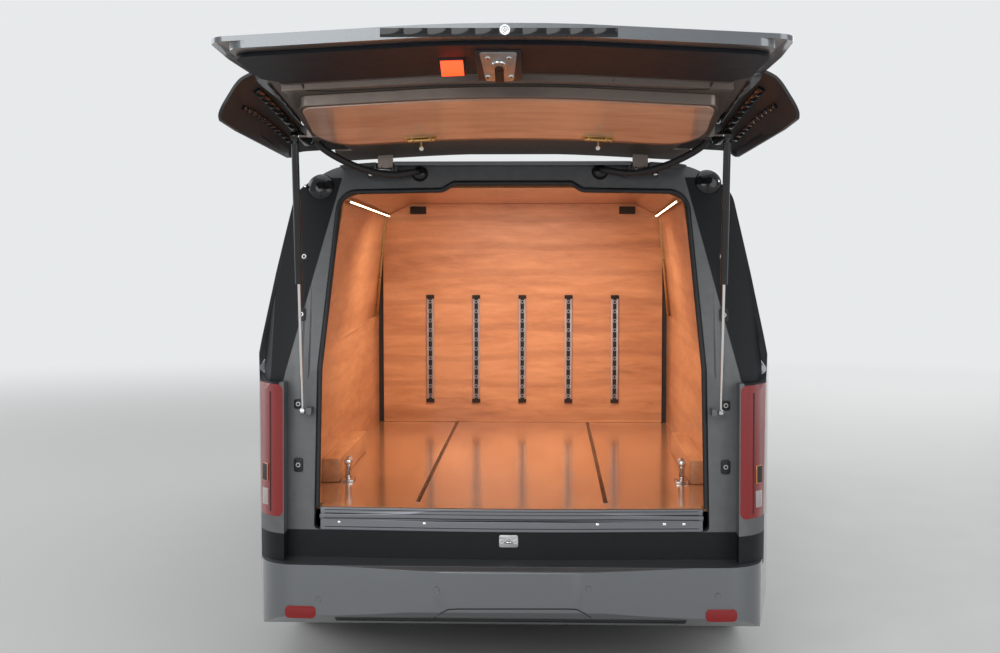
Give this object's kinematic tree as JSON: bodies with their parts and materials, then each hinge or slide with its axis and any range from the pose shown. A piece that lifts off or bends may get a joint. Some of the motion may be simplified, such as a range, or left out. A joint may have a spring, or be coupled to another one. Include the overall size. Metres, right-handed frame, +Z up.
{
  "type": "hearse",
  "caption": "Van-based hearse with raised tailgate, wood-lined load space, opening doors and bonnet, steering and rolling wheels.",
  "frame": {"origin": "on the ground, under the middle of the overall length with the tailgate raised", "axes": "+X to the vehicle's right, +Y forward, +Z up"},
  "size_m": [2.22, 6.1644, 2.1901],
  "materials": {
    "paint_silver": "metallic silver grey paint",
    "trim_black": "grained black plastic",
    "structure": "dark painted steel",
    "privacy_glass": "dark privacy glass",
    "clear_glass": "clear laminated glass",
    "tyre": "black tyre rubber",
    "alloy": "silver alloy",
    "seal_rubber": "matt black rubber",
    "wood_laminate": "satin warm oak laminate",
    "stainless": "brushed stainless steel",
    "lamp_red": "red lens",
    "lamp_clear": "clear lens",
    "cab_plastic": "dark soft plastic",
    "seat_cloth": "dark woven cloth",
    "cast": "cast iron",
    "board_black": "black lining board"
  },
  "bodies": {
    "base": {"body_sides": "paint_silver", "roof": "paint_silver", "sliding_doors": "paint_silver", "side_glass": "privacy_glass", "windscreen": "clear_glass", "headlamps": "lamp_clear", "grille": "trim_black", "front_bumper": "paint_silver", "front_wings": "paint_silver", "rear_frame": "paint_silver", "opening_seal": "seal_rubber", "rear_bumper": "paint_silver", "tail_lamps": "lamp_red", "floor_pan": "structure", "front_frame": "structure", "front_posts": "structure", "firewall": "structure", "engine": "cast", "front_axle": "cast", "rear_axle": "cast", "deck": "wood_laminate", "deck_sill": "stainless", "bulkhead": "board_black", "bulkhead_board": "wood_laminate", "side_linings": "wood_laminate", "ceiling": "wood_laminate", "load_fittings": "stainless", "dashboard": "cab_plastic", "seats": "seat_cloth"},
    "knuckle_left": {"knuckle_left": "cast"},
    "knuckle_right": {"knuckle_right": "cast"},
    "door_left": {"door_left": "paint_silver", "door_glass_left": "clear_glass"},
    "door_right": {"door_right": "paint_silver", "door_glass_right": "clear_glass"},
    "bonnet": {"bonnet": "paint_silver"},
    "steering_wheel": {"steering_wheel": "cab_plastic"},
    "tailgate": {"tailgate": "paint_silver", "tailgate_glass": "privacy_glass", "tailgate_trim": "trim_black", "tailgate_board": "wood_laminate"},
    "strut_tube_left": {"strut_tube_left": "trim_black"},
    "strut_tube_right": {"strut_tube_right": "trim_black"},
    "strut_rod_left": {"strut_rod_left": "stainless"},
    "strut_rod_right": {"strut_rod_right": "stainless"},
    "wheel_front_left": {"tyre_front_left": "tyre", "rim_front_left": "alloy"},
    "wheel_front_right": {"tyre_front_right": "tyre", "rim_front_right": "alloy"},
    "wheel_rear_left": {"tyre_rear_left": "tyre", "rim_rear_left": "alloy"},
    "wheel_rear_right": {"tyre_rear_right": "tyre", "rim_rear_right": "alloy"}
  },
  "joints": [
    {"name": "steer_left", "type": "hinge", "parent": "base", "child": "knuckle_left", "pos_m": [-0.735, 2.221, 0.336], "axis": [0, 0, 1], "range_deg": [-30, 30]},
    {"name": "steer_right", "type": "hinge", "parent": "base", "child": "knuckle_right", "pos_m": [0.735, 2.221, 0.336], "axis": [0, 0, 1], "range_deg": [-30, 30]},
    {"name": "wheel_front_left_spin", "type": "hinge", "parent": "knuckle_left", "child": "wheel_front_left", "pos_m": [-0.83, 2.221, 0.336], "axis": [1, 0, 0], "continuous": true},
    {"name": "wheel_rear_left_spin", "type": "hinge", "parent": "base", "child": "wheel_rear_left", "pos_m": [-0.83, -0.979, 0.336], "axis": [1, 0, 0], "continuous": true},
    {"name": "wheel_front_right_spin", "type": "hinge", "parent": "knuckle_right", "child": "wheel_front_right", "pos_m": [0.83, 2.221, 0.336], "axis": [1, 0, 0], "continuous": true},
    {"name": "wheel_rear_right_spin", "type": "hinge", "parent": "base", "child": "wheel_rear_right", "pos_m": [0.83, -0.979, 0.336], "axis": [1, 0, 0], "continuous": true},
    {"name": "steering_wheel_turn", "type": "hinge", "parent": "base", "child": "steering_wheel", "pos_m": [-0.4, 1.451, 1.12], "axis": [0, -0.8829, 0.4695], "range_deg": [-420, 420]},
    {"name": "door_left_hinge", "type": "hinge", "parent": "base", "child": "door_left", "pos_m": [-0.95, 1.639, 1], "axis": [0, 0, 1], "range_deg": [-65, 0]},
    {"name": "door_right_hinge", "type": "hinge", "parent": "base", "child": "door_right", "pos_m": [0.95, 1.639, 1], "axis": [0, 0, 1], "range_deg": [0, 65]},
    {"name": "bonnet_hinge", "type": "hinge", "parent": "base", "child": "bonnet", "pos_m": [0, 2.371, 1.13], "axis": [1, 0, 0], "range_deg": [0, 50]},
    {"name": "tailgate_hinge", "type": "hinge", "parent": "base", "child": "tailgate", "pos_m": [0, -1.663, 1.874], "axis": [1, 0, 0], "range_deg": [0, 88.5]},
    {"name": "strut_tube_left_hinge", "type": "hinge", "parent": "tailgate", "child": "strut_tube_left", "pos_m": [-0.745, -2.02962, 1.96944], "axis": [1, 0, 0], "range_deg": [-112.18, 0.5]},
    {"name": "strut_rod_left_slide", "type": "slide", "parent": "strut_tube_left", "child": "strut_rod_left", "axis": [0, -0.1093, 0.994], "range_m": [-0.001, 0.4432]},
    {"name": "strut_tube_right_hinge", "type": "hinge", "parent": "tailgate", "child": "strut_tube_right", "pos_m": [0.745, -2.02962, 1.96944], "axis": [1, 0, 0], "range_deg": [-112.18, 0.5]},
    {"name": "strut_rod_right_slide", "type": "slide", "parent": "strut_tube_right", "child": "strut_rod_right", "axis": [0, -0.1093, 0.994], "range_m": [-0.001, 0.4432]}
  ],
  "couplings": [
    {"joint": "steer_right", "follows": "steer_left", "ratio": 1},
    {"joint": "steering_wheel_turn", "follows": "steer_left", "ratio": 14},
    {"joint": "strut_tube_left_hinge", "follows": "tailgate_hinge", "ratio": -1.2619},
    {"joint": "strut_rod_left_slide", "follows": "tailgate_hinge", "m_per_rad": 0.28632},
    {"joint": "strut_tube_right_hinge", "follows": "tailgate_hinge", "ratio": -1.2619},
    {"joint": "strut_rod_right_slide", "follows": "tailgate_hinge", "m_per_rad": 0.28632}
  ]
}
